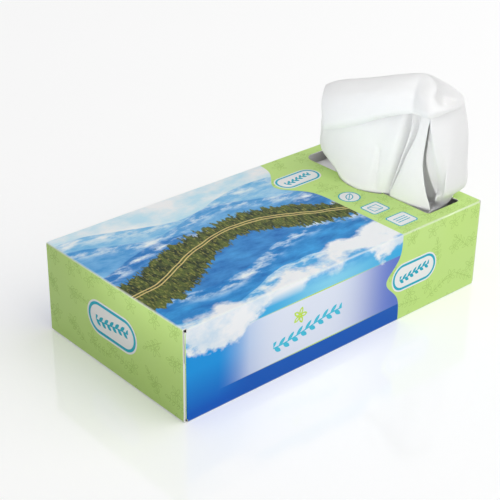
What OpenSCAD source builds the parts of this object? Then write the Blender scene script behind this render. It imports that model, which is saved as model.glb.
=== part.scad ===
// Tissue box: a glued board carton with a thumb-notched slot across one end of its top,
// the stack of folded tissues inside it, and the top tissue pulled up through the slot.
// Millimetres. Origin at the middle of the base, +X towards the slot, +Z up.

/* [Carton] */
// Outer length of the carton, along X
carton_l = 214; // [180:1:260]
// Outer width of the carton, along Y
carton_w = 115; // [112:1:150]
// Outer height of the carton, along Z
carton_h = 53; // [40:1:90]
// Thickness of the folding board
board = 0.5; // [0.3:0.05:0.8]
// Outer radius of a folded board edge
fold_r = 0.9; // [0.85:0.05:1.4]

/* [End flaps] */
// Gap between the outer end flap's free edge and the base
flap_gap = 0.8; // [0.3:0.1:2]
// Height of the inner end flap, which the outer one is glued to
inner_flap_h = 34; // [15:1:38]
// Length of a dust flap, from the long wall inwards
dust_flap_l = 36; // [15:1:45]
// Gap between a dust flap and the top and base panels
dust_flap_gap = 1.5; // [0.5:0.1:4]
// Height of the glued seam tab inside the rear wall
seam_tab_h = 12; // [8:1:20]

/* [Dispensing slot] */
// Width of the slot, along X
slot_w = 26; // [22:1:32]
// Length of the slot, along Y
slot_l = 99; // [80:1:99]
// Board left between the slot and the carton's end
slot_end_margin = 10; // [8:1:20]
// Corner radius of the slot at the rear
slot_rear_r = 6.5; // [3:0.5:9]
// Corner radius of the slot at the front
slot_front_r = 2; // [1:0.5:6]
// Depth of the thumb notch in the slot's long edge
notch_depth = 7.5; // [5:0.5:10]
// Length of the thumb notch along the slot's edge
notch_l = 38; // [28:1:44]
// Place of the thumb notch along Y
notch_y = 2; // [-4:0.5:6]
// Radius where the notch runs into the slot's edge
notch_blend_r = 6; // [2:1:10]

/* [Tissue stack] */
// Air between the stack and the flaps of an end
stack_end_clear = 3; // [1:0.5:20]
// Air between the stack and a long wall
stack_side_clear = 3.5; // [1:0.5:12]
// Free height between the stack and the top panel
headroom = 8; // [7:0.5:14]
// Number of folded bundles that show as layers in the stack's sides
stack_layers = 11; // [6:1:16]
// Depth of the groove between two layers
layer_groove = 0.8; // [0.4:0.1:1.5]

/* [Pulled tissue] */
// Height of the pulled tissue above the carton
plume_h = 74; // [60:1:95]
// Thickness of the tissue
tissue_t = 0.5; // [0.3:0.05:0.6]
// Air between the tissue's tail and the stack
tail_clear = 0.3; // [0.2:0.05:0.5]
// Air between the two leaves of the tail
leaf_gap = 0.5; // [0.3:0.05:0.8]
// Length of the tail that still lies on the stack
tail_l = 72; // [40:1:120]
// Width of stack left bare beside the tail, along Y
tail_margin = 3; // [1:0.5:15]
// Faces between two drawn points of the tissue
tissue_steps = 3; // [2:1:3]

/* [Hidden] */
$fn = 64;

// The slot's edges on the top panel
slot_x1 = carton_l / 2 - slot_end_margin;
slot_x0 = slot_x1 - slot_w;
cut_clear = 1;

// Layers of board at an end, from the outside in: outer flap, inner flap, dust flaps
inner_flap_l = carton_l - 2 * board;
dust_l = carton_l - 4 * board;
sleeve_l = dust_l - 2 * fold_r;
panel_w = carton_w - 2 * fold_r;

// The stack stands on the base panel, inside the dust flaps and the seam tab
stack_l = dust_l - 2 * board - 2 * stack_end_clear;
stack_w = carton_w - 4 * board - 2 * stack_side_clear;
stack_top = carton_h - board - headroom;
stack_h = stack_top - board;
layer_h = stack_h / stack_layers;
tail_w = stack_w - 2 * tail_margin;

// The slot and the height that the plume below is drawn for
drawn_slot_w = 26;
drawn_slot_l = 99;
drawn_plume_h = 74;

// The pulled tissue is folded once along its length. Each row is one line across it, from the
// free edge of the front leaf, round the fold at the rear, to the free edge of the back leaf.
// A point is [out from the slot's long edge, along the slot, above the carton].
plume_rows = [
  // In the slot
  [[4, -45, -3], [8, -16, -3.5], [1, -3, -3.5], [0, 12, -3.5], [4, 23, -3.2], [8, 29, -4],
    [13, 22, -4.5], [19, 2, -5], [21, -16, -5], [22.5, -29, -4.5], [22.5, -35, -4],
    [22.5, -39, -3.5], [21, -41, -3.2], [18.5, -42, -3]],
  // Just over the carton
  [[4.5, -46.5, 2], [9, -15, 2], [-1.5, -3, 2], [-3, 12, 2], [3, 25, 2], [7.5, 31, 2],
    [14, 24, 2], [21, 3, 2], [23, -16, 2], [24, -31, 2.5], [25, -38, 3.5],
    [25, -43, 4], [22.5, -46, 4], [18.5, -46, 4]],
  // The low bulges
  [[7, -41, 10], [10, -15, 10], [1, -4, 10], [-0.5, 14, 9], [2, 34, 8], [8, 42, 8],
    [15, 34, 8], [22, 6, 9], [25, -16, 9], [29, -33, 8], [31.5, -43, 8],
    [31.5, -49, 8], [22, -51, 8], [12.5, -45, 9]],
  // Up the curtain
  [[7, -38, 25], [9.5, -19, 25], [2, -7, 25], [0, 14, 24], [2, 34, 21], [8, 43, 18],
    [14, 34, 20], [21, 6, 24], [25, -16, 25], [28, -33, 24], [29.5, -45, 23],
    [28.5, -50.5, 23], [20, -53, 25], [10, -41, 25]],
  [[6.5, -40, 44], [8.5, -24, 43], [2, -10, 41], [0, 12, 37], [2.5, 33, 31], [8.5, 43, 31],
    [14, 34, 33], [19, 6, 40], [23, -16, 43], [25.5, -33, 44], [26.5, -45, 43],
    [25, -51, 42], [18, -54, 43], [8, -42, 44]],
  // The ridge
  [[8, -40, 62], [8, -26, 66], [7.5, -8, 61], [7.5, 14, 53.5], [8, 31, 47.5], [9, 42.5, 45],
    [10.5, 32, 51], [10.5, 8, 59.5], [10.5, -14, 67.5], [11.5, -33, 73.5], [13, -44, 71.5],
    [18, -50.5, 62.5], [14, -52, 61], [8, -47, 60]],
  // The hood, folded over towards the carton's middle
  [[4.5, -40, 60], [4, -26, 62], [2.5, -8, 56], [2.5, 14, 48], [3, 30, 42], [1, 37, 40],
    [0, 31, 44.5], [-1.5, 8, 53], [-1.5, -14, 62], [1, -31, 67.5], [5.5, -45, 67],
    [16, -51.5, 63], [10, -50, 60], [5.5, -46, 59]],
  // The hood's hem and its curled edge
  [[4, -38, 57], [2.5, -26, 57.5], [0.5, -8, 48], [0, 14, 40], [1, 28, 33], [-3, 32, 29],
    [-4.5, 25, 32], [-5.5, 4, 41], [-5, -14, 50], [-2, -30, 57], [2, -43, 57],
    [14.5, -52, 61.5], [9, -49.5, 59], [5, -45.5, 58]],
  [[4, -37, 55], [2.5, -26, 54.5], [1.5, -8, 44], [1.5, 14, 36], [1, 27, 28], [-2.5, 31.5, 24.5],
    [-2.5, 24, 27], [-2, 6, 35], [-2.5, -12, 45], [-0.5, -31, 52.5], [3, -43.5, 52.5],
    [14, -52, 59.5], [9, -49, 57.5], [5, -45, 56.5]]
];

// Where each point of a row lies in the flat tail: its share of half the width, and its leaf
tail_shares = [-1, -0.5, -0.12, 0.35, 0.78, 1, 0.8, 0.3, -0.15, -0.5, -0.7, -0.82, -0.9, -1];
tail_leaves = [1, 1, 1, 1, 1, 0.5, 0, 0, 0, 0, 0, 0, 0, 0];
// The tail's rows: distance from the slot's long edge, as a share of the tail's length, and lift
tail_rows = [[1, 0], [0.5, 0], [0.1, 0.4]];

// A rectangle with rounded corners, round the origin
module rounded_box(l, w, r) {
  square([l - 2 * r, w], center = true);
  square([l, w - 2 * r], center = true);
  for (x = [-1, 1], y = [-1, 1])
    translate([x * (l / 2 - r), y * (w / 2 - r)])
      circle(r);
}

// A closed band of board with folded corners, round the origin
module band(l, w) {
  difference() {
    rounded_box(l, w, fold_r);
    rounded_box(l - 2 * board, w - 2 * board, fold_r - board);
  }
}

// A band in the XZ plane between two heights, as wide as the flat of the top panel
module lengthwise_band(l, z0, z1) {
  translate([0, panel_w / 2, 0])
    rotate([90, 0, 0])
      linear_extrude(panel_w)
        intersection() {
          translate([0, carton_h / 2])
            band(l, carton_h);
          translate([-l / 2, z0])
            square([l, z1 - z0]);
        }
}

// The four panels of the carton, folded round the stack
module sleeve() {
  translate([-sleeve_l / 2, 0, carton_h / 2])
    rotate([90, 0, 90])
      linear_extrude(sleeve_l)
        band(carton_w, carton_h);
}

// The tab that closes the sleeve, glued inside the rear wall
module seam_tab() {
  translate([-sleeve_l / 2, carton_w / 2 - 2 * board, carton_h - board - seam_tab_h])
    cube([sleeve_l, board, seam_tab_h]);
}

// A short flap at both ends of each long wall, folded in first
module dust_flaps() {
  z0 = board + dust_flap_gap;
  flap_y = carton_w / 2 - dust_flap_l;
  translate([0, 0, z0])
    linear_extrude(carton_h - 2 * z0)
      intersection() {
        band(dust_l, carton_w);
        for (side = [-1, 1])
          translate([-carton_l / 2, side * (flap_y + carton_w / 2) / 2 - dust_flap_l / 2])
            square([carton_l, dust_flap_l]);
      }
}

// The slot with its thumb notch
module slot_outline() {
  notch_r = (pow(notch_l / 2, 2) + pow(notch_depth, 2)) / (2 * notch_depth);
  centre_x = slot_x0 + notch_r - notch_depth;
  blend_dx = centre_x - slot_x0 + notch_blend_r;
  blend_dy = sqrt(pow(notch_r + notch_blend_r, 2) - pow(blend_dx, 2));
  rear_y = slot_l / 2;
  difference() {
    translate([slot_x0, -rear_y])
      square([slot_w, slot_l]);
    for (x = [slot_x0, slot_x1], side = [-1, 1])
      slot_corner(x, side * rear_y, side > 0 ? slot_rear_r : slot_front_r);
  }
  translate([0, notch_y])
    intersection() {
      translate([slot_x0 - notch_depth - cut_clear, -slot_l / 2])
        square([notch_depth + 2 * cut_clear, slot_l]);
      union() {
        translate([centre_x, 0])
          circle(notch_r);
        difference() {
          polygon([
            [slot_x0 - notch_blend_r, -blend_dy], [slot_x0 + cut_clear, -blend_dy],
            [slot_x0 + cut_clear, blend_dy], [slot_x0 - notch_blend_r, blend_dy], [centre_x, 0]
          ]);
          for (side = [-1, 1])
            translate([slot_x0 - notch_blend_r, side * blend_dy])
              circle(notch_blend_r);
        }
      }
    }
}

// What a rounded corner leaves standing of the slot's square corner at x, y
module slot_corner(x, y, r) {
  to_x = x > (slot_x0 + slot_x1) / 2 ? -1 : 1;
  to_y = y > 0 ? -1 : 1;
  difference() {
    translate([x + to_x * r / 2, y + to_y * r / 2])
      square(r, center = true);
    translate([x + to_x * r, y + to_y * r])
      circle(r);
  }
}

// The carton: one folded and glued blank with the slot cut in its top
module carton() {
  color("yellowgreen")
    difference() {
      union() {
        sleeve();
        seam_tab();
        dust_flaps();
        lengthwise_band(inner_flap_l, 0, inner_flap_h);
        lengthwise_band(carton_l, flap_gap, carton_h);
      }
      translate([0, 0, carton_h - 2 * board])
        linear_extrude(3 * board)
          slot_outline();
    }
}

// The stack: bundles of folded tissues, with their folds along the long sides
module tissue_stack() {
  color("white")
    for (i = [0 : stack_layers - 1])
      translate([-stack_l / 2, 0, board + (i + 0.5) * layer_h])
        rotate([90, 0, 90])
          linear_extrude(stack_l) {
            square([stack_w - 2 * layer_groove, layer_h], center = true);
            rounded_box(stack_w, layer_h - layer_groove / 2, layer_groove);
          }
}

// A point of the plume, drawn over the slot and moved to the slot's true size and place
function plume_point(p) = [
  slot_x0 + p.x * slot_w / drawn_slot_w,
  p.y * slot_l / drawn_slot_l,
  carton_h + (p.z > 0 ? p.z * plume_h / drawn_plume_h : p.z)
];

// A point of the flat tail, on the stack
function tail_point(j, row) = [
  slot_x0 - row[0] * tail_l,
  tail_shares[j] * tail_w / 2,
  stack_top + tail_clear + tissue_t / 2 + tail_leaves[j] * (tissue_t + leaf_gap) + row[1]
];

// A smooth curve through four points in turn, between the two in the middle
function curve(a, b, c, d, t) =
  0.5 * (2 * b + (c - a) * t + (2 * a - 5 * b + 4 * c - d) * t * t
    + (3 * b - a - 3 * c + d) * t * t * t);

// A list of points with smooth steps put between them
function smooth(points) =
  let (last = len(points) - 1)
  [
    for (i = [0 : last - 1], k = [0 : tissue_steps - 1])
      curve(points[max(i - 1, 0)], points[i], points[i + 1], points[min(i + 2, last)],
        k / tissue_steps),
    points[last]
  ];

function turned(rows) = [for (j = [0 : len(rows[0]) - 1]) [for (row = rows) row[j]]];

// The tissue's middle surface, as rows of points
function tissue_grid() =
  let (
    tail = [for (row = tail_rows) [for (j = [0 : len(tail_shares) - 1]) tail_point(j, row)]],
    plume = [for (row = plume_rows) [for (p = row) plume_point(p)]],
    across = [for (row = concat(tail, plume)) smooth(row)]
  )
  turned([for (column = turned(across)) smooth(column)]);

function unit(v) = v / norm(v);

// The direction square to the surface at one point of the grid
function grid_normal(g, i, j) =
  let (
    along = g[min(i + 1, len(g) - 1)][j] - g[max(i - 1, 0)][j],
    over = g[i][min(j + 1, len(g[0]) - 1)] - g[i][max(j - 1, 0)]
  )
  unit(cross(along, over));

// The tissue pulled through the slot: one sheet, given its thickness
module pulled_tissue() {
  g = tissue_grid();
  rows = len(g);
  cols = len(g[0]);
  count = rows * cols;
  points = [
    for (side = [1, -1], i = [0 : rows - 1], j = [0 : cols - 1])
      g[i][j] + side * tissue_t / 2 * grid_normal(g, i, j)
  ];
  at = function (i, j) i * cols + j;
  faces = [
    for (i = [0 : rows - 2], j = [0 : cols - 2])
      each [
        [at(i, j), at(i, j + 1), at(i + 1, j + 1)],
        [at(i, j), at(i + 1, j + 1), at(i + 1, j)],
        [count + at(i, j), count + at(i + 1, j + 1), count + at(i, j + 1)],
        [count + at(i, j), count + at(i + 1, j), count + at(i + 1, j + 1)]
      ],
    for (j = [0 : cols - 2])
      each [
        [at(0, j), count + at(0, j), at(0, j + 1)],
        [at(0, j + 1), count + at(0, j), count + at(0, j + 1)],
        [at(rows - 1, j), at(rows - 1, j + 1), count + at(rows - 1, j)],
        [at(rows - 1, j + 1), count + at(rows - 1, j + 1), count + at(rows - 1, j)]
      ],
    for (i = [0 : rows - 2])
      each [
        [at(i, 0), at(i + 1, 0), count + at(i, 0)],
        [at(i + 1, 0), count + at(i + 1, 0), count + at(i, 0)],
        [at(i, cols - 1), count + at(i, cols - 1), at(i + 1, cols - 1)],
        [at(i + 1, cols - 1), count + at(i, cols - 1), count + at(i + 1, cols - 1)]
      ]
  ];
  color("whitesmoke")
    polyhedron(points, faces);
}

carton();
tissue_stack();
pulled_tissue();
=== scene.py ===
import math

import bpy
import numpy as np
from mathutils import Matrix, Vector


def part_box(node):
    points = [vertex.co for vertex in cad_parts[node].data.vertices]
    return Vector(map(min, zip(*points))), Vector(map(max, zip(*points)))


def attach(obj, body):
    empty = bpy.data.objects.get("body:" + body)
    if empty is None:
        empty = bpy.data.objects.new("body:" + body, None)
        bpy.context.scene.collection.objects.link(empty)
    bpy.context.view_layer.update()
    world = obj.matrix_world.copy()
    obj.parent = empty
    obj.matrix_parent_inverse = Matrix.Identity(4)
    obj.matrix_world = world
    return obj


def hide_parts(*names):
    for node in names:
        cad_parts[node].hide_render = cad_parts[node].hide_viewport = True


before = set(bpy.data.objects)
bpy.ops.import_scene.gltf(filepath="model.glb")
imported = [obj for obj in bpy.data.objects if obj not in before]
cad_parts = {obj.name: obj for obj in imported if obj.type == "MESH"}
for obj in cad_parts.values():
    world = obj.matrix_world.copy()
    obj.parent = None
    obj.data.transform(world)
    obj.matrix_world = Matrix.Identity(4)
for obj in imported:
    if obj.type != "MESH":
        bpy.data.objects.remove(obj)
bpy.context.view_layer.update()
scene = bpy.context.scene
scene.view_settings.view_transform = "Standard"
MM = 0.001


# The camera
# It stands off the carton's front left corner and looks down on the top, far enough away
# for a long lens, with a slight roll. All of it is fitted to the carton's corners.
CAMERA_PLACE = (-431.8 * MM, -466.9 * MM, 375.9 * MM)
CAMERA_HEADING = math.radians(41.74)
CAMERA_DIP = math.radians(28.22)
CAMERA_ROLL = math.radians(0.8)
CAMERA_FOCAL_PX = 1320.5
PHOTO_PX = 500
SENSOR_WIDTH = 36

camera_data = bpy.data.cameras.new("camera")
camera_data.sensor_width = SENSOR_WIDTH
camera_data.lens = SENSOR_WIDTH * CAMERA_FOCAL_PX / PHOTO_PX
camera_data.clip_start = 0.01
camera_data.clip_end = 20
camera = bpy.data.objects.new("camera", camera_data)
scene.collection.objects.link(camera)
looking = Vector((
    math.cos(CAMERA_DIP) * math.sin(CAMERA_HEADING),
    math.cos(CAMERA_DIP) * math.cos(CAMERA_HEADING),
    -math.sin(CAMERA_DIP),
))
turn = looking.to_track_quat("-Z", "Y").to_matrix() @ Matrix.Rotation(CAMERA_ROLL, 3, "Z")
camera.matrix_world = Matrix.Translation(CAMERA_PLACE) @ turn.to_4x4()
scene.camera = camera


# The printed carton
# One blank of white-lined folding board, printed, varnished, cut, creased and glued. All
# that faces outward is printed, and the inside and the slot's edge are bare board.
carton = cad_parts["carton"]
carton_low, carton_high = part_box("carton")
LENGTH = (carton_high.x - carton_low.x) / MM
WIDTH = (carton_high.y - carton_low.y) / MM
HEIGHT = (carton_high.z - carton_low.z) / MM

GREEN = (0.570, 0.820, 0.210, 1)
GREEN_PALE = (0.600, 0.830, 0.300, 1)
GREEN_LINE = (0.370, 0.600, 0.130, 1)
LIME = (0.560, 0.800, 0.080, 1)
TEAL = (0.008, 0.430, 0.580, 1)
PALE_TEAL = (0.060, 0.560, 0.760, 1)
WHITE_INK = (0.900, 0.905, 0.895, 1)
# The pale ink along the folds: cracked, worn ink and a painted highlight on the fold edges
FOLD_INK_AND_HIGHLIGHT = (0.900, 0.930, 0.880, 1)
BARE_BOARD = (0.850, 0.845, 0.825, 1)
BOARD_FIBRE = (0.910, 0.905, 0.890, 1)


def node(tree, kind, **settings):
    """A new node in the tree, with its settings made."""
    made = tree.nodes.new(kind)
    for name, value in settings.items():
        setattr(made, name, value)
    return made


class Field:
    """A number that varies over the surface: a socket that can be reckoned with."""

    def __init__(self, tree, socket):
        self.tree, self.socket = tree, socket

    def math(self, operation, *others, clamp=False):
        made = node(self.tree, "ShaderNodeMath", operation=operation, use_clamp=clamp)
        for place, value in enumerate((self, *others)):
            feed(self.tree, made.inputs[place], value)
        return Field(self.tree, made.outputs[0])

    def __add__(self, other):
        return self.math("ADD", other)

    def __sub__(self, other):
        return self.math("SUBTRACT", other)

    def __mul__(self, other):
        return self.math("MULTIPLY", other)

    def __truediv__(self, other):
        return self.math("DIVIDE", other)

    def __neg__(self):
        return self.math("MULTIPLY", -1)

    def __abs__(self):
        return self.math("ABSOLUTE")

    def least(self, other):
        return self.math("MINIMUM", other)

    def most(self, other):
        return self.math("MAXIMUM", other)

    def above(self, value):
        return self.math("GREATER_THAN", value)

    def sine(self):
        return self.math("SINE")

    def inside(self, soft=0.2):
        """1 where this distance is negative, with an edge this soft."""
        return (self / -soft).math("ADD", 0.5, clamp=True)

    def ring(self, width):
        """1 on a line this wide along the zero of this distance."""
        return (abs(self) - width / 2).inside()


def feed(tree, socket, value):
    """Puts a number, colour or field into a socket."""
    if isinstance(value, Field):
        tree.links.new(value.socket, socket)
    elif hasattr(value, "is_output"):
        tree.links.new(value, socket)
    else:
        socket.default_value = value


def pick(tree, mask, low, high):
    """A number that is low where the mask is 0 and high where it is 1."""
    made = node(tree, "ShaderNodeMix", data_type="FLOAT")
    for name, value in (("Factor_Float", mask), ("A_Float", low), ("B_Float", high)):
        socket = next(s for s in made.inputs if s.identifier == name)
        feed(tree, socket, value)
    return Field(tree, next(s for s in made.outputs if s.identifier == "Result_Float"))


def ink(tree, under, colour, mask):
    """A colour laid over what is under it, where the mask is 1."""
    made = node(tree, "ShaderNodeMix", data_type="RGBA")
    for name, value in (("Factor_Float", mask), ("A_Color", under), ("B_Color", colour)):
        socket = next(s for s in made.inputs if s.identifier == name)
        feed(tree, socket, value)
    return next(s for s in made.outputs if s.identifier == "Result_Color")


def pair(tree, x, y, z=0.0):
    """Two or three fields as one vector."""
    made = node(tree, "ShaderNodeCombineXYZ")
    for place, value in enumerate((x, y, z)):
        feed(tree, made.inputs[place], value)
    return made.outputs[0]


def split(tree, vector):
    """The three fields of a vector."""
    made = node(tree, "ShaderNodeSeparateXYZ")
    tree.links.new(vector, made.inputs[0])
    return [Field(tree, s) for s in made.outputs]


def length(tree, x, y):
    """How far x, y lies from the middle."""
    made = node(tree, "ShaderNodeVectorMath", operation="LENGTH")
    tree.links.new(pair(tree, x, y), made.inputs[0])
    return Field(tree, made.outputs["Value"])


def turned(tree, x, y, angle):
    """x and y after the paper is turned under them by an angle."""
    made = node(tree, "ShaderNodeVectorRotate", rotation_type="Z_AXIS")
    tree.links.new(pair(tree, x, y), made.inputs["Vector"])
    feed(tree, made.inputs["Angle"], angle)
    return split(tree, made.outputs[0])[:2]


def noise(tree, x, y, size, detail=3.0, rough=0.5, z=0.0):
    """Cloudy noise from 0 to 1, its lumps about this size in millimetres."""
    made = node(tree, "ShaderNodeTexNoise")
    made.inputs["Scale"].default_value = 1 / size
    made.inputs["Detail"].default_value = detail
    made.inputs["Roughness"].default_value = rough
    tree.links.new(pair(tree, x, y, z), made.inputs["Vector"])
    return Field(tree, made.outputs["Fac"])


def leaf(tree, x, y, half_l, half_w):
    """Distance to a pointed leaf's edge, its length along x."""
    radius = (half_l ** 2 + half_w ** 2) / (2 * half_w)
    return length(tree, x, abs(y) + (radius - half_w)) - radius


def box_2d(tree, x, y, half_x, half_y, corner):
    """Distance to the edge of a rectangle with round corners."""
    dx = (abs(x) - (half_x - corner)).most(0.0)
    dy = (abs(y) - (half_y - corner)).most(0.0)
    return length(tree, dx, dy) - corner


def sprig(tree, x, y, half_l, step, leaf_l, leaf_w, line):
    """A straight sprig along x, drawn in line: a stem with a pair of leaves at each step."""
    along = (x + half_l) / step
    here = (along.math("FRACT") - 0.5) * step
    lx, ly = turned(tree, here + 0.12 * step, abs(y) - 0.1, math.radians(-48))
    blade = leaf(tree, lx - leaf_l / 2, ly, leaf_l / 2, leaf_w / 2)
    reach = (abs(x) - half_l).inside()
    leaves = blade.ring(line) * reach
    stem = (abs(y) - line / 2).inside() * (abs(x) - (half_l + leaf_l / 2)).inside()
    tip = leaf(tree, x - (half_l + leaf_l / 2), y, leaf_l / 2, leaf_w / 2).ring(line)
    return leaves.most(stem).most(tip)


def garland(tree, x, y, half_l, step, leaf_l, leaf_w, line):
    """A gently curved stem along x, with solid leaves on its two sides in turn."""
    off = y - (x / half_l * 1.6).sine() * (0.12 * half_l)
    here = (((x + half_l) / step + off.above(0.0) * 0.5).math("FRACT") - 0.5) * step
    lx, ly = turned(tree, here + 0.4 * leaf_l, abs(off), math.radians(-38))
    leaves = leaf(tree, lx - leaf_l / 2, ly, leaf_l / 2, leaf_w / 2).inside()
    stem = (abs(off) - line / 2).inside()
    return leaves.most(stem) * (abs(x) - half_l).inside()


def blossom(tree, x, y, size, line):
    """A five-petalled flower, drawn in line."""
    made = node(tree, "ShaderNodeMath", operation="ARCTAN2")
    feed(tree, made.inputs[0], y)
    feed(tree, made.inputs[1], x)
    slice_angle = 2 * math.pi / 5
    angle = ((Field(tree, made.outputs[0]) / slice_angle + 5.5).math("FRACT") - 0.5) * slice_angle
    far = length(tree, x, y)
    px = far * angle.math("COSINE")
    py = far * angle.sine()
    petal = leaf(tree, px - size * 0.58, py, size * 0.42, size * 0.2)
    heart = far - size * 0.15
    return petal.ring(line).most(heart.ring(line))


def scattered(tree, x, y, cell, seed):
    """x and y in a cell of a loose grid, each cell turned and shifted by chance."""
    cx = (x / cell).math("FLOOR")
    cy = (y / cell).math("FLOOR")
    chance = node(tree, "ShaderNodeTexWhiteNoise", noise_dimensions="3D")
    tree.links.new(pair(tree, cx, cy, seed), chance.inputs["Vector"])
    rx, ry, rz = split(tree, chance.outputs["Color"])
    lx = ((x / cell).math("FRACT") - 0.5) * cell + (rx - 0.5) * (cell * 0.22)
    ly = ((y / cell).math("FRACT") - 0.5) * cell + (ry - 0.5) * (cell * 0.22)
    return turned(tree, lx, ly, rz * (2 * math.pi))


# Sizes of the print, in millimetres
# The field is the plain green end of the carton, past a curved edge that bulges by a depth,
# around a middle, over a width. The band and the panel run along the long walls. Labels
# and badges stand on the field: each label has a place, across and up, and a scale. All
# that faces outward, down to the print's depth below the carton's box, is printed.
FIELD_EDGE = 42.5
TOP_BULGE = (13.5, 29.0, 13.0)
WALL_BULGE = (11.0, 27.0, 9.0)
BAND_TOP = 10.8
PANEL_TOP = 41.0
PANEL_MIDDLE = (-26.0, 22.5)
LABEL_HALF = (17.5, 8.0)
LABEL_MARGIN = 0.9
LABEL_RIM = 1.5
TOP_LABEL = (47.0, 29.5, 0.86)
WALL_LABEL = (53.6, 26.5, 0.97)
END_LABEL = (-0.5, 28.0, 1.14)
BADGES = ((53.0, -6.5), (54.0, -25.5), (55.5, -44.0))
BADGE_LINE = 0.6
BADGE_RIM = 0.8
PRINT_DEPTH = 0.6

# Level, height, span, start and lean of each printed wave, then its two inks. The middle
# and the half width of the ribbon that lies over them are waves too.
WAVES = (
    (38.0, 7.0, 120.0, 0.4, -0.05, (0.120, 0.460, 0.790, 1), (0.520, 0.770, 0.930, 1)),
    (27.0, 6.0, 95.0, 2.6, -0.06, (0.030, 0.270, 0.660, 1), (0.250, 0.570, 0.870, 1)),
    (14.0, 8.0, 140.0, 4.4, 0.04, (0.008, 0.140, 0.480, 1), (0.070, 0.360, 0.760, 1)),
    (-24.0, 9.0, 150.0, 1.1, 0.02, (0.006, 0.160, 0.520, 1), (0.050, 0.400, 0.820, 1)),
    (-46.0, 6.0, 110.0, 3.0, 0.05, (0.020, 0.320, 0.740, 1), (0.250, 0.650, 0.930, 1)),
)
HAZE = (0.560, 0.820, 0.940, 1)
HAZE_WHITE = (0.950, 0.965, 0.970, 1)
CREST_WHITE = (0.900, 0.950, 0.970, 1)
FOAM_SHADE = (0.620, 0.780, 0.910, 1)
FOAM_WHITE = (0.930, 0.950, 0.970, 1)
RIBBON_MIDDLE = (-6.0, 13.0, 170.0, 2.4)
RIBBON_HALF = (11.5, 2.5, 88.0, 0.6, -0.05)
GRASS_DARK = (0.008, 0.020, 0.005, 1)
GRASS = (0.090, 0.125, 0.020, 1)
GRASS_LIGHT = (0.400, 0.370, 0.070, 1)
GILT = (0.720, 0.570, 0.230, 1)

# Inks of the long walls
WATER_DEEP = (0.001, 0.110, 0.540, 1)
WATER = (0.007, 0.310, 0.780, 1)
STRIP_BLUE = (0.030, 0.420, 0.800, 1)
STRIP_PALE = (0.250, 0.680, 0.900, 1)
CLOUD_SHADE = (0.640, 0.780, 0.900, 1)
CLOUD_WHITE = (0.930, 0.945, 0.960, 1)
VIOLET = (0.110, 0.190, 0.640, 1)
PANEL_PALE = (0.800, 0.850, 0.970, 1)
BAND_BLUE = (0.003, 0.105, 0.500, 1)


def wave(x, level, height, span, start, lean=0.0):
    """The level of one wavy edge across the paper, at x."""
    return (x / (span / (2 * math.pi)) + start).sine() * height + x * lean + level


def bell(tree, x, centre, width):
    """A bump of height 1 at its centre, running out smoothly."""
    off = (x - centre) / width
    return (-(off * off)).math("EXPONENT")


def clamped(field):
    """The field kept between 0 and 1."""
    return field.math("ADD", 0.0, clamp=True)


def wave_paper(tree, x, across):
    """Flowing waves that run over the top and down the long walls, as one picture."""
    drift = (noise(tree, x, across, 38, 2.0) - 0.5) * 7
    s = across + drift
    ripple = clamped((noise(tree, x / 1.8, s * 1.3, 8.5, 6.0, 0.62) - 0.32) * 2.7)
    cloud = noise(tree, x, s * 1.4, 30, 6.0, 0.55)
    paper = ink(tree, HAZE, HAZE_WHITE, clamped((cloud - 0.40) * 5))
    for level, height, span, start, lean, deep, light in WAVES:
        under = s - wave(x, level, height, span, start, lean)
        crest = clamped(bell(tree, under, -4.0, 4.5) * (ripple * 2.2 - 0.9))
        water = ink(tree, ink(tree, deep, light, ripple), CREST_WHITE, crest)
        paper = ink(tree, paper, water, under.inside(0.5))
    # White foam, which leans along the fold between the top and the front wall
    foam = bell(tree, s - x * 0.2, -50.5, 13.0) * 0.75 + (cloud - 0.5) * 2.4 - 0.36
    foam_ink = ink(tree, FOAM_SHADE, FOAM_WHITE, clamped((ripple + cloud) * 1.4))
    paper = ink(tree, paper, foam_ink, clamped(foam * 4))
    # The grassy ribbon, with two thin gilt lines along its middle
    middle = s - wave(x, *RIBBON_MIDDLE)
    tufts = noise(tree, x, across * 0.35, 3.2, 5.0, 0.65)
    blades = noise(tree, x * 1.5, across * 0.5, 1.6, 3.0, 0.6)
    half = wave(x, *RIBBON_HALF) + (tufts - 0.5) * 26
    grass = ink(tree, GRASS_DARK, GRASS, clamped((tufts - 0.42) * 6))
    grass = ink(tree, grass, GRASS_LIGHT, clamped((blades - 0.52) * 7) * 0.7)
    paper = ink(tree, paper, grass, (abs(middle) - half).inside(1.2))
    return ink(tree, paper, GILT, (abs(middle - 1.0) - 1.1).ring(0.8))


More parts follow.
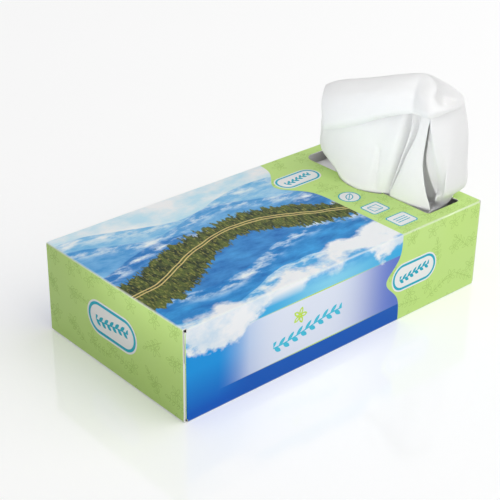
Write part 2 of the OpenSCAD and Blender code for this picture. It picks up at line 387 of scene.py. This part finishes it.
def wall_paper(tree, paper, x, z):
    """The pale panel and the blue band along the foot of each long wall."""
    # Clear blue down the wall, deeper at its foot, and a paler strip over the panel
    water = ink(tree, WATER_DEEP, WATER, clamped((z - 4.0) / 24))
    strip = ink(tree, STRIP_BLUE, STRIP_PALE, bell(tree, x, -10.0, 30.0))
    wall = ink(tree, water, strip, (-(z - (PANEL_TOP - 1.0))).inside(2.0))
    # Cloud comes down from the top, low at the left and again beside the green end
    cloud = noise(tree, x, z * 1.3, 17, 6.0, 0.55)
    foot = -(bell(tree, x, -86.0, 34.0) * 25 + bell(tree, x, 40.0, 24.0) * 15) + (HEIGHT + 3.0)
    billow = clamped((z - foot + (cloud - 0.5) * 34) / 3.5)
    cloudy = ink(tree, CLOUD_SHADE, CLOUD_WHITE, clamped((cloud - 0.38) * 5))
    # The panel is palest in its middle, blue to the left and violet to the right
    off = (x + 28.0) / 48.0
    glow = (-(off * off * off * off)).math("EXPONENT")
    sides = ink(tree, water, VIOLET, clamped((x + 30.0) / 40))
    panel = ink(tree, sides, PANEL_PALE, glow)
    reach = clamped((x + 86.0) / 20)
    on_panel = (abs(z - (PANEL_TOP + BAND_TOP) / 2) - (PANEL_TOP - BAND_TOP) / 2).inside(0.4)
    paper = ink(tree, paper, wall, (z - (HEIGHT - 5.0)).inside(6.0))
    paper = ink(tree, paper, panel, on_panel * reach)
    lime_reach = bell(tree, x, -17.0, 30.0)
    paper = ink(tree, paper, LIME, (z - PANEL_TOP).ring(0.7) * lime_reach)
    paper = ink(tree, paper, cloudy, billow * (-(z - 24.0)).inside(4.0))
    paper = ink(tree, paper, BAND_BLUE, (z - BAND_TOP).inside(0.4) * reach)
    paper = ink(tree, paper, LIME, (z - BAND_TOP).ring(0.6) * lime_reach)
    # A garland with a small blossom over it, in the middle of the pale panel
    px, pz = x - PANEL_MIDDLE[0], z - PANEL_MIDDLE[1]
    paper = ink(tree, paper, PALE_TEAL, garland(tree, px, pz, 24.0, 6.0, 5.6, 2.4, 0.8))
    return ink(tree, paper, LIME, blossom(tree, px + 6.0, pz - 9.5, 4.4, 0.9))


def green_field(tree, a, b):
    """The green end of the carton: plain ink with sprigs and blossoms in a darker line."""
    shade = noise(tree, a, b, 60, 2.0)
    green = ink(tree, GREEN, GREEN_PALE, shade)
    x1, y1 = scattered(tree, a, b, 21.0, 3.0)
    x2, y2 = scattered(tree, a + 9.0, b + 12.0, 17.0, 8.0)
    lines = sprig(tree, x1, y1, 6.5, 3.6, 3.4, 1.5, 0.28)
    lines = lines.most(blossom(tree, x2, y2, 4.6, 0.28))
    return ink(tree, green, GREEN_LINE, lines * 0.8)


def label(tree, paper, x, y):
    """A white label with a blue-green rim and a garland."""
    edge = box_2d(tree, x, y, LABEL_HALF[0], LABEL_HALF[1], LABEL_HALF[1])
    paper = ink(tree, paper, WHITE_INK, (edge - LABEL_MARGIN).inside())
    paper = ink(tree, paper, TEAL, (edge + LABEL_RIM / 2).ring(LABEL_RIM))
    return ink(tree, paper, TEAL, garland(tree, x, y, 12.0, 4.0, 4.0, 1.9, 0.7))


def badges(tree, paper, x, y):
    """Three small badges in a row on the top: a leaf, a folded sheet and three lines."""
    for number, (cx, cy) in enumerate(BADGES):
        dx, dy = x - cx, y - cy
        if number == 0:
            edge = length(tree, dx, dy) - 6.0
            lx, ly = turned(tree, dx, dy, math.radians(-40))
            rib = (abs(ly) - 0.25).inside() * (abs(lx) - 4.6).inside()
            mark = leaf(tree, lx, ly, 4.0, 1.9).ring(BADGE_LINE).most(rib)
        elif number == 1:
            edge = box_2d(tree, dx, dy, 6.2, 5.6, 1.6)
            sheet = box_2d(tree, dx, dy, 3.4, 2.8, 0.4)
            mark = sheet.ring(BADGE_LINE).most((dx + dy * 0.8).ring(BADGE_LINE) * sheet.inside())
        else:
            edge = box_2d(tree, dx, dy, 7.0, 5.8, 1.6)
            from_line = abs(((dy / 1.9 + 0.5).math("FRACT") - 0.5) * 1.9)
            mark = (from_line - 0.35).inside() * box_2d(tree, dx, dy, 4.6, 2.8, 0.4).inside()
        paper = ink(tree, paper, WHITE_INK, edge.inside())
        paper = ink(tree, paper, TEAL, edge.ring(BADGE_RIM))
        paper = ink(tree, paper, TEAL, mark)
    return paper


def print_colours(tree, x, y, z, nx, ny, nz):
    """All inks of the carton's outside, from a place in millimetres and its face."""
    top = nz.above(0.6)
    ends = abs(nx).above(0.7)
    long_wall = abs(ny).above(0.7)
    # Paper coordinates: a runs to the right and b up, on each face as it is read
    a = pick(tree, ends, pick(tree, long_wall, x, -(x * ny.math("SIGN"))), y * nx.math("SIGN"))
    b = pick(tree, top, z, y)
    over = y.math("SIGN") * (-(z - (HEIGHT + WIDTH / 2)))
    across = pick(tree, long_wall, y, over)

    paper = wave_paper(tree, x, across)
    wall = wall_paper(tree, paper, x, z)
    paper = ink(tree, paper, wall, long_wall)
    top_edge = -(bell(tree, y, TOP_BULGE[1], TOP_BULGE[2]) * TOP_BULGE[0]) + FIELD_EDGE
    wall_edge = -(bell(tree, z, WALL_BULGE[1], WALL_BULGE[2]) * WALL_BULGE[0]) + FIELD_EDGE
    field_edge = pick(tree, top, wall_edge, top_edge)
    field = (-(x - field_edge)).inside(0.3).most(ends)
    paper = ink(tree, paper, green_field(tree, a, b), field)

    wall_place = -(ny.math("SIGN") * WALL_LABEL[0])
    label_a = pick(tree, top, pick(tree, ends, wall_place, END_LABEL[0]), TOP_LABEL[0])
    label_b = pick(tree, top, pick(tree, ends, WALL_LABEL[1], END_LABEL[1]), TOP_LABEL[1])
    size = pick(tree, top, pick(tree, ends, WALL_LABEL[2], END_LABEL[2]), TOP_LABEL[2])
    paper = label(tree, paper, (a - label_a) / size, (b - label_b) / size)
    return ink(tree, paper, badges(tree, paper, x, y), top)


board = bpy.data.materials.new("printed_board")
board.use_nodes = True
tree = board.node_tree
shader = tree.nodes["Principled BSDF"]
coordinates = node(tree, "ShaderNodeTexCoord")
place = node(tree, "ShaderNodeVectorMath", operation="SCALE")
place.inputs["Scale"].default_value = 1 / MM
tree.links.new(coordinates.outputs["Object"], place.inputs[0])
x, y, z = split(tree, place.outputs[0])
nx, ny, nz = split(tree, coordinates.outputs["Normal"])

# How far each point lies inside the carton's box, for the print and for the folds, whose ink is
# lightened as worn ink and as a painted highlight
from_end = abs(x) - LENGTH / 2
from_wall = abs(y) - WIDTH / 2
from_top = abs(z - HEIGHT / 2) - HEIGHT / 2
outward = (from_end.above(-PRINT_DEPTH) * (x.math("SIGN") * nx)).most(
    from_wall.above(-PRINT_DEPTH) * (y.math("SIGN") * ny)).most(
    from_top.above(-PRINT_DEPTH) * ((z - HEIGHT / 2).math("SIGN") * nz))
printed = outward.above(0.3)
fold = from_end.least(from_wall).most(from_end.most(from_wall).least(from_top))
grain = noise(tree, x, y, 1.6, 3.0, 0.6, z)
# Along the folds the ink turns paler: partly ink cracked and worn at the creases, partly a painted
# highlight on the fold edges
worn_and_highlight = clamped((fold + 1.1) * 1.4) * (grain * 0.5 + 0.25)

colours = print_colours(tree, x, y, z, nx, ny, nz)
colours = ink(tree, colours, FOLD_INK_AND_HIGHLIGHT, worn_and_highlight)
fibres = noise(tree, x * 0.4, y, 0.7, 4.0, 0.7, z)
bare = ink(tree, BARE_BOARD, BOARD_FIBRE, fibres)
colours = ink(tree, bare, colours, printed)
feed(tree, shader.inputs["Base Color"], colours)
feed(tree, shader.inputs["Roughness"], pick(tree, printed, 0.85, grain * 0.12 + 0.34))
shader.inputs["Specular IOR Level"].default_value = 0.14
relief = node(tree, "ShaderNodeBump")
relief.inputs["Strength"].default_value = 0.25
relief.inputs["Distance"].default_value = 0.00003
feed(tree, relief.inputs["Height"], fibres * 0.6 + grain)
tree.links.new(relief.outputs[0], shader.inputs["Normal"])
carton.data.materials.clear()
carton.data.materials.append(board)


# The tissue stack
# Eighty tissues of soft creped paper, each folded once, their folds to the front and to the
# rear in turn. They lie loose on the base as one brick, whose top shows through the slot.
stack_low, stack_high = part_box("tissue_stack")
TISSUE_COUNT = 80
LEAF_THICKNESS, FOLD_GAP = 0.22 * MM, 0.05 * MM
TISSUE_SHIFT = 0.5 * MM
TISSUE_SHADE = (0.870, 0.872, 0.876, 1)
TISSUE_WHITE = (0.930, 0.930, 0.928, 1)


def creped_paper():
    """The look of tissue paper, from a place in millimetres: its colour and its fine relief."""
    group = bpy.data.node_groups.new("creped_paper", "ShaderNodeTree")
    group.interface.new_socket("Place", in_out="INPUT", socket_type="NodeSocketVector")
    group.interface.new_socket("Colour", in_out="OUTPUT", socket_type="NodeSocketColor")
    group.interface.new_socket("Normal", in_out="OUTPUT", socket_type="NodeSocketVector")
    given = node(group, "NodeGroupInput")
    result = node(group, "NodeGroupOutput")
    u, v, w = split(group, given.outputs["Place"])
    crepe = noise(group, u * 0.22, v, 0.55, 3.0, 0.6, w)
    soft = noise(group, u, v, 9.0, 3.0, 0.5, w)
    colour = ink(group, TISSUE_SHADE, TISSUE_WHITE, crepe * 0.5 + soft * 0.5)
    feed(group, result.inputs["Colour"], colour)
    relief = node(group, "ShaderNodeBump")
    relief.inputs["Strength"].default_value = 0.35
    relief.inputs["Distance"].default_value = 0.00008
    feed(group, relief.inputs["Height"], crepe + soft * 0.5)
    feed(group, result.inputs["Normal"], relief.outputs[0])
    return group


paper_look = creped_paper()


def tissue_material(name, source, size):
    """Soft white creped paper. The named coordinates, times the size, are millimetres."""
    made = bpy.data.materials.new(name)
    made.use_nodes = True
    tree = made.node_tree
    shader = tree.nodes["Principled BSDF"]
    coordinates = node(tree, "ShaderNodeTexCoord")
    scale = node(tree, "ShaderNodeVectorMath", operation="MULTIPLY")
    scale.inputs[1].default_value = size
    tree.links.new(coordinates.outputs[source], scale.inputs[0])
    look = node(tree, "ShaderNodeGroup", node_tree=paper_look)
    tree.links.new(scale.outputs[0], look.inputs["Place"])
    tree.links.new(look.outputs["Colour"], shader.inputs["Base Color"])
    tree.links.new(look.outputs["Normal"], shader.inputs["Normal"])
    shader.inputs["Roughness"].default_value = 0.9
    shader.inputs["Specular IOR Level"].default_value = 0.2
    shader.inputs["Sheen Weight"].default_value = 0.15
    shader.inputs["Subsurface Weight"].default_value = 0.3
    shader.inputs["Subsurface Radius"].default_value = (1, 1, 1)
    shader.inputs["Subsurface Scale"].default_value = 0.001
    return made


def folded_tissue(half_l, half_w, leaf, gap):
    """A mesh of one tissue folded once: two flat leaves joined by a round fold at +Y."""
    radius = leaf + gap / 2
    bends = [math.radians(angle) for angle in (-90, -45, 0, 45, 90)]
    profiles = []
    for reach in (radius, gap / 2):
        arc = [
            (half_w - radius + reach * math.cos(bend), radius + reach * math.sin(bend))
            for bend in bends
        ]
        profiles += [(-half_w, arc[0][1]), *arc, (-half_w, arc[-1][1])]
    points = [(side * half_l, y, z) for side in (-1, 1) for y, z in profiles]
    far = len(profiles)
    count = far // 2
    faces = [(0, far, far + count, count), (far - 1, 2 * far - 1, far + count - 1, count - 1)]
    for i in range(count - 1):
        j, inner = i + 1, i + count
        faces.append((i, j, far + j, far + i))
        faces.append((inner, far + inner, far + inner + 1, inner + 1))
        faces.append((i, inner, inner + 1, j))
        faces.append((far + i, far + j, far + inner + 1, far + inner))
    mesh = bpy.data.meshes.new("folded_tissue")
    mesh.from_pydata(points, [], faces)
    return mesh


def pile_tree():
    """Nodes that pile a sheet up, turned half round in turn and shifted a little by chance."""
    tree = bpy.data.node_groups.new("pile_of_sheets", "GeometryNodeTree")
    tree.interface.new_socket("Geometry", in_out="OUTPUT", socket_type="NodeSocketGeometry")
    for name, kind in (("Geometry", "Geometry"), ("Count", "Int"), ("Rise", "Float"), ("Floor", "Float"),
                       ("Shift", "Float"), ("Seed", "Int"), ("Paper", "Material")):
        tree.interface.new_socket(name, in_out="INPUT", socket_type="NodeSocket" + kind)
    given = node(tree, "NodeGroupInput")
    line = node(tree, "GeometryNodeMeshLine")
    feed(tree, line.inputs["Count"], given.outputs["Count"])
    feed(tree, line.inputs["Start Location"], pair(tree, 0.0, 0.0, Field(tree, given.outputs["Floor"])))
    feed(tree, line.inputs["Offset"], pair(tree, 0.0, 0.0, Field(tree, given.outputs["Rise"])))
    shift = Field(tree, given.outputs["Shift"])
    chance = node(tree, "FunctionNodeRandomValue", data_type="FLOAT_VECTOR")
    feed(tree, chance.inputs["Min"], pair(tree, -shift, -shift))
    feed(tree, chance.inputs["Max"], pair(tree, shift, shift))
    feed(tree, chance.inputs["Seed"], given.outputs["Seed"])
    moved = node(tree, "GeometryNodeSetPosition")
    feed(tree, moved.inputs["Geometry"], line.outputs["Mesh"])
    feed(tree, moved.inputs["Offset"], chance.outputs["Value"])
    index = Field(tree, node(tree, "GeometryNodeInputIndex").outputs[0])
    half_round = index.math("MODULO", 2.0) * math.pi
    turning = node(tree, "FunctionNodeEulerToRotation")
    feed(tree, turning.inputs["Euler"], pair(tree, 0.0, 0.0, half_round))
    placed = node(tree, "GeometryNodeInstanceOnPoints")
    feed(tree, placed.inputs["Points"], moved.outputs["Geometry"])
    feed(tree, placed.inputs["Instance"], given.outputs["Geometry"])
    feed(tree, placed.inputs["Rotation"], turning.outputs["Rotation"])
    real = node(tree, "GeometryNodeRealizeInstances")
    feed(tree, real.inputs["Geometry"], placed.outputs["Instances"])
    papered = node(tree, "GeometryNodeSetMaterial")
    feed(tree, papered.inputs["Geometry"], real.outputs["Geometry"])
    feed(tree, papered.inputs["Material"], given.outputs["Paper"])
    result = node(tree, "NodeGroupOutput")
    feed(tree, result.inputs["Geometry"], papered.outputs["Geometry"])
    return tree


one_tissue = folded_tissue(
    stack_high.x - TISSUE_SHIFT, stack_high.y - TISSUE_SHIFT, LEAF_THICKNESS, FOLD_GAP)
stack = bpy.data.objects.new("folded_tissues", one_tissue)
scene.collection.objects.link(stack)
piling = stack.modifiers.new("pile", "NODES")
piling.node_group = pile_tree()
pile_values = {
    "Count": TISSUE_COUNT,
    "Rise": (stack_high.z - stack_low.z) / TISSUE_COUNT,
    "Floor": stack_low.z,
    "Shift": TISSUE_SHIFT,
    "Seed": 4,
    "Paper": tissue_material("stacked_tissue", "Object", (1 / MM, 1 / MM, 1 / MM)),
}
for socket in piling.node_group.interface.items_tree:
    if socket.in_out == "INPUT" and socket.name in pile_values:
        piling[socket.identifier] = pile_values[socket.name]
seen_now = bpy.context.evaluated_depsgraph_get()
pile_mesh = bpy.data.meshes.new_from_object(stack.evaluated_get(seen_now), depsgraph=seen_now)
stack.modifiers.clear()
stack.data = pile_mesh
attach(stack, "root")
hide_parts("tissue_stack")


# The pulled tissue
# The top tissue, folded once along its length. Its tail still lies on the stack, and the
# rest comes up through the slot, over a ridge and down again as a loose hood.
SLOT_EDGE = 71.0

# Rows of drawn points, each from the sheet's front edge over its fold and back to the rear
# edge, in millimetres from the slot's long edge, the carton's middle and its top
plume_rows = [
    # In the slot
    [[4, -45, -3.5], [1.5, -33, -3.5], [1.5, -20, -3.5], [3, -18.8, -3.5], [2, -18, -3.5],
      [3, -17, -3.5], [1.5, -15.5, -3.5], [-4.5, -3, -3.5], [-3.5, 12, -3.5], [3, 23, -3.2],
      [8, 29, -4], [13, 22, -4.5], [19, 2, -5], [21, -16, -5], [22.5, -28, -4.5],
      [22.5, -36, -4], [22.5, -41, -3.5], [18.5, -44, -3], [15, -43, -3], [12.5, -42, -3],
      [13.5, -39, -3.5], [10, -31, -4]],
    # Just over the carton
    [[4.5, -46.3, 1], [0.8, -33, 1], [0.8, -20.5, 1], [4.5, -18.8, 1], [2, -18, 1],
      [4.5, -17, 1], [0.5, -15.3, 1], [-6.4, -3, 1], [-5.2, 12, 1], [2, 25, 1.5],
      [7.5, 31, 2], [14, 24, 2], [21, 3, 2], [23, -16, 2], [24, -30, 2.5],
      [25, -38, 3.5], [26, -45.5, 3.5], [17, -46.5, 3], [13.5, -45, 3.5], [11.5, -44, 3.5],
      [14, -40.5, 3], [9.5, -32, 3]],
    # The low bulges
    [[5.3, -41.5, 10], [1, -31, 10], [1.5, -23, 10], [8, -20.8, 10], [3.5, -20, 10],
      [8, -18.8, 10], [0.8, -16.8, 10], [-2.5, -5, 9], [-3, 14, 8], [1.5, 34, 8],
      [8, 42, 8], [15, 34, 8], [22, 6, 9], [25, -16, 9], [29, -32, 8],
      [32, -41, 8], [32, -48, 8], [12.5, -50.3, 10], [13, -48, 10], [13.5, -44.5, 10],
      [14.5, -42, 10], [9.5, -33, 10]],
    # Up the curtain
    [[5, -38.4, 25], [3, -33, 25], [3.2, -27.5, 25], [10, -25.2, 25], [4.5, -23.8, 24.5],
      [10, -21.8, 24], [1.8, -19.6, 24], [0.8, -8, 24], [0, 14, 24], [2, 34, 21],
      [8, 43, 18], [14, 34, 20], [21, 6, 24], [25, -16, 25], [28.5, -32, 24],
      [31, -41, 24], [31, -48, 23], [14.5, -50.5, 26], [10.5, -49, 25.5], [8.5, -45.5, 25],
      [10.5, -43.3, 24], [8.5, -34.5, 24]],
    [[5, -40, 44], [4.2, -37, 44], [4.2, -34.2, 44], [9.5, -32, 44], [4.2, -29.3, 43.5],
      [9.5, -26.3, 43], [2, -23.6, 42.5], [1, -12, 40], [0, 12, 37], [2.5, 33, 31],
      [8.5, 43, 31], [14, 34, 33], [19, 6, 40], [23, -16, 43], [25.5, -32, 44],
      [27.5, -42, 43], [28.5, -48.5, 42], [18.7, -50.2, 46], [10.5, -49.8, 45], [2.5, -46, 44],
      [4.5, -44, 43.5], [8, -38, 43]],
    # The ridge
    [[6.5, -41, 58], [7, -36, 61.5], [7.5, -31.5, 64], [7.5, -29, 65], [8, -26.5, 65.5],
      [8, -24, 65.5], [8, -21.5, 65], [7.5, -8, 61], [7.5, 14, 53.5], [8, 31, 47.5],
      [9, 42.5, 45], [10.5, 32, 51], [10.5, 8, 59.5], [10.5, -14, 67.5], [11, -31, 72.5],
      [14.5, -42.5, 70], [22.5, -47.5, 62.5], [19, -50.3, 58.6], [10, -48.5, 58.5], [1, -45, 56.5],
      [3.5, -42.5, 55.5], [8.5, -38.5, 55]],
    # The hood, folded over towards the carton's middle
    [[4.5, -40, 60], [4.5, -35, 61.5], [4.5, -31, 62], [4.2, -28.5, 62], [4, -26, 62],
      [4, -23.5, 61.5], [4, -21, 61], [2.5, -8, 56], [2.5, 14, 48], [3, 30, 42],
      [1, 37, 40], [0, 31, 44.5], [-1.5, 8, 53], [-1.5, -14, 62], [1, -31, 67],
      [1.5, -44, 67], [14, -50.5, 63.5], [18.6, -50.9, 60], [10.5, -46.5, 60], [4, -43.5, 58.5],
      [6, -41.5, 57.5], [9, -38.5, 57]],
    # The hood's hem and its curled edge
    [[4, -38, 57], [3.2, -34, 57.5], [3, -30.5, 57.5], [2.7, -28, 57.5], [2.5, -26, 57.5],
      [2.3, -23.5, 56.5], [2.2, -21, 55.5], [0.5, -8, 48], [0, 14, 40], [1, 28, 33],
      [-3, 32, 29], [-4.5, 25, 32], [-4.5, 4, 41], [-4, -14, 50], [-1.5, -31, 57],
      [-3.5, -46.5, 60], [8.5, -51.8, 60.5], [18.4, -51, 59.2], [11, -44.5, 58], [6.5, -42.5, 57],
      [8, -41, 56.5], [9.5, -38.5, 56]],
    [[4, -37, 55], [3.2, -33, 55], [3, -30, 55], [2.7, -28, 55], [2.5, -26, 54.5],
      [2.2, -23.5, 53.5], [2, -21, 52.5], [1.5, -8, 44], [1.5, 14, 36], [1, 27, 28],
      [-2.5, 31.5, 24.5], [-2.5, 24, 27], [-2, 6, 35], [-1.5, -12, 45], [0, -32, 53.5],
      [-2.5, -46.2, 56], [8, -51, 58.2], [18.2, -50.8, 58.5], [11, -43.5, 56], [7, -42, 55],
      [8.5, -40.5, 55], [9.5, -38.5, 55]],
]
TAIL_SHARES = [-1, -0.78, -0.62, -0.52, -0.44, -0.36, -0.26, -0.04, 0.35, 0.78, 1,
               0.8, 0.3, -0.12, -0.4, -0.55, -0.66, -0.76, -0.84, -0.9, -0.95, -1]
FOLD_COLUMN = 10
TAIL_ROWS = [(1, 0), (0.5, 0), (0.1, 0.4)]
TAIL_LENGTH, TAIL_WIDTH = 72.0, 100.0
TAIL_LIFT, LEAF_GAP = 0.55, 1.0
TISSUE_THICKNESS = 0.35
FLAT_SHEET = (212, 205, 1)
STEPS = 12
stack_top = stack_high.z / MM - HEIGHT


def smooth(points, steps):
    """A smooth curve through points, with steps between them, along the first axis."""
    last = len(points) - 1
    out = []
    for i in range(last):
        a, b = points[max(i - 1, 0)], points[i]
        c, d = points[i + 1], points[min(i + 2, last)]
        for k in range(steps):
            t = k / steps
            out.append(0.5 * (2 * b + (c - a) * t + (2 * a - 5 * b + 4 * c - d) * t ** 2
                              + (3 * b - a - 3 * c + d) * t ** 3))
    out.append(points[last])
    return np.array(out)


def tail_point(column, share, lift):
    """A point of the flat tail: its upper leaf up to the fold, its lower leaf past it."""
    leaf_up = float(column < FOLD_COLUMN) + 0.5 * (column == FOLD_COLUMN)
    height = stack_top + TAIL_LIFT + leaf_up * LEAF_GAP + lift
    return [-share * TAIL_LENGTH, TAIL_SHARES[column] * TAIL_WIDTH / 2, height]


def to_path(grid, path):
    """How far each point lies from a path given along the slot and up, and where along it."""
    nearest = np.full(grid.shape[:2], np.inf)
    share = np.zeros(grid.shape[:2])
    for k in range(len(path) - 1):
        start, end = np.array(path[k]), np.array(path[k + 1])
        run = end - start
        off = grid[:, :, 1:] - start
        t = np.clip(off @ run / (run @ run), 0, 1)
        far = np.linalg.norm(off - t[:, :, None] * run, axis=2)
        share = np.where(far < nearest, (k + t) / (len(path) - 1), share)
        nearest = np.minimum(far, nearest)
    return nearest, share


def pressed(grid, path, depth, width, columns, rows):
    """Presses a crease into some drawn rows and columns of the sheet, deepest in its middle."""
    far, share = to_path(grid, path)
    dent = depth * np.exp(-far / width) * np.sin(math.pi * np.clip(0.12 + 0.76 * share, 0, 1))
    here = np.zeros(grid.shape[:2])
    here[rows[0] * STEPS:rows[1] * STEPS + 1, columns[0] * STEPS:columns[1] * STEPS + 1] = 1
    grid[:, :, 0] += dent * here


tail = [[tail_point(j, share, lift) for j in range(len(TAIL_SHARES))] for share, lift in TAIL_ROWS]
drawn = np.array(tail + plume_rows)
grid = smooth(np.array([smooth(row, STEPS) for row in drawn]), STEPS)
rows, columns = grid.shape[:2]

# A short crease low on the curtain, one of the hood beside its pillowed corner, and soft
# folds that rise from the slot up the back leaf, each with its path, depth and width
pressed(grid, ((-8.5, 26), (-9, 11), (-11, 2)), 4.5, 1.2, columns=(6, 9), rows=(4, 8))
pressed(grid, ((-31, 72), (-32, 64), (-34, 54)), 1.8, 3.0, columns=(12, 16), rows=(8, 11))
for path, depth, width in (
    (((32, 4), (25, 20), (21, 42)), -2.6, 2.2),
    (((14, 3), (7, 24), (4, 52)), -3.4, 2.6),
    (((-3, 4), (-6, 22), (-2, 40)), 2.0, 3.0),
    (((-14, 3), (-18, 28), (-11, 58)), -3.0, 2.2),
    (((-30, 6), (-27, 26), (-31, 50)), -2.4, 2.0),
):
    pressed(grid, path, depth, width, columns=(11, 15), rows=(4, 9))

tissue_mesh = bpy.data.meshes.new("pulled_tissue_sheet")
corners = (grid.reshape(-1, 3) + np.array([SLOT_EDGE, 0.0, HEIGHT])) * MM
faces = [
    (i * columns + j, i * columns + j + 1, (i + 1) * columns + j + 1, (i + 1) * columns + j)
    for i in range(rows - 1) for j in range(columns - 1)
]
tissue_mesh.from_pydata([tuple(p) for p in corners], [], faces)
tissue_mesh.update()

# The flat sheet's own coordinates, from the lengths of its tail and of its middle column
across_steps = np.linalg.norm(np.diff(grid[0], axis=0), axis=1)
along_steps = np.linalg.norm(np.diff(grid[:, columns // 2], axis=0), axis=1)
sheet_u = np.concatenate([[0], np.cumsum(across_steps)]) / across_steps.sum()
sheet_v = np.concatenate([[0], np.cumsum(along_steps)]) / along_steps.sum()
uv = tissue_mesh.uv_layers.new(name="sheet")
for loop in tissue_mesh.loops:
    i, j = divmod(loop.vertex_index, columns)
    uv.data[loop.index].uv = (sheet_u[j], sheet_v[i])
for polygon in tissue_mesh.polygons:
    polygon.use_smooth = True
tissue = bpy.data.objects.new("pulled_tissue_sheet", tissue_mesh)
scene.collection.objects.link(tissue)
wall = tissue.modifiers.new("thickness", "SOLIDIFY")
wall.thickness = TISSUE_THICKNESS * MM
wall.offset = 0
tissue.data.materials.append(tissue_material("pulled_tissue_paper", "UV", FLAT_SHEET))
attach(tissue, "root")
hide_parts("pulled_tissue")


# The floor and the light
# A plain pale floor with a faint gloss, a broad soft lamp to the front right, a weak narrow
# one from the left that is turned to the pulled tissue, and an even pale sky.
FLOOR_HALF = 6.0
FLOOR_GLOW = 0.20
SKY_LIGHT, SKY_SEEN = 0.38, 1.0


def seen_directly(tree):
    """1 for rays from the camera, mirrors and glass, and 0 for rays that only carry light."""
    rays = node(tree, "ShaderNodeLightPath")
    camera_ray, glossy, through = (
        Field(tree, rays.outputs[name])
        for name in ("Is Camera Ray", "Is Glossy Ray", "Is Transmission Ray"))
    return camera_ray.most(glossy).most(through)


floor_mesh = bpy.data.meshes.new("floor")
floor_corners = [(i * FLOOR_HALF, j * FLOOR_HALF, 0) for i, j in ((-1, -1), (1, -1), (1, 1), (-1, 1))]
floor_mesh.from_pydata(floor_corners, [], [(0, 1, 2, 3)])
floor = bpy.data.objects.new("floor", floor_mesh)
scene.collection.objects.link(floor)
floor_paint = bpy.data.materials.new("floor_paint")
floor_paint.use_nodes = True
floor_tree = floor_paint.node_tree
floor_shader = floor_tree.nodes["Principled BSDF"]
floor_shader.inputs["Base Color"].default_value = (0.92, 0.92, 0.92, 1)
floor_shader.inputs["Roughness"].default_value = 0.08
floor_shader.inputs["IOR"].default_value = 1.6
floor_shader.inputs["Emission Color"].default_value = (1, 1, 1, 1)
floor_glow = seen_directly(floor_tree) * FLOOR_GLOW
feed(floor_tree, floor_shader.inputs["Emission Strength"], floor_glow)
floor_mesh.materials.append(floor_paint)


def lamp(name, place, target, size, power, spread=180):
    """A square soft lamp at a place, turned to a target. Its spread is in degrees."""
    data = bpy.data.lights.new(name, "AREA")
    data.size = size
    data.energy = power
    data.spread = math.radians(spread)
    made = bpy.data.objects.new(name, data)
    made.location = place
    made.rotation_euler = (Vector(target) - Vector(place)).to_track_quat("-Z", "Y").to_euler()
    scene.collection.objects.link(made)


lamp("key_lamp", (0.7, -1.05, 1.6), (0, 0, 0.03), size=3.0, power=37)
lamp("tissue_lamp", (-1.0, -0.25, 0.17), (0.085, -0.002, 0.098), size=0.12, power=0.029, spread=6)

world = bpy.data.worlds.new("pale_sky")
scene.world = world
world.use_nodes = True
sky = world.node_tree
background = sky.nodes["Background"]
background.inputs["Color"].default_value = (1, 1, 1, 1)
feed(sky, background.inputs["Strength"], pick(sky, seen_directly(sky), SKY_LIGHT, SKY_SEEN))
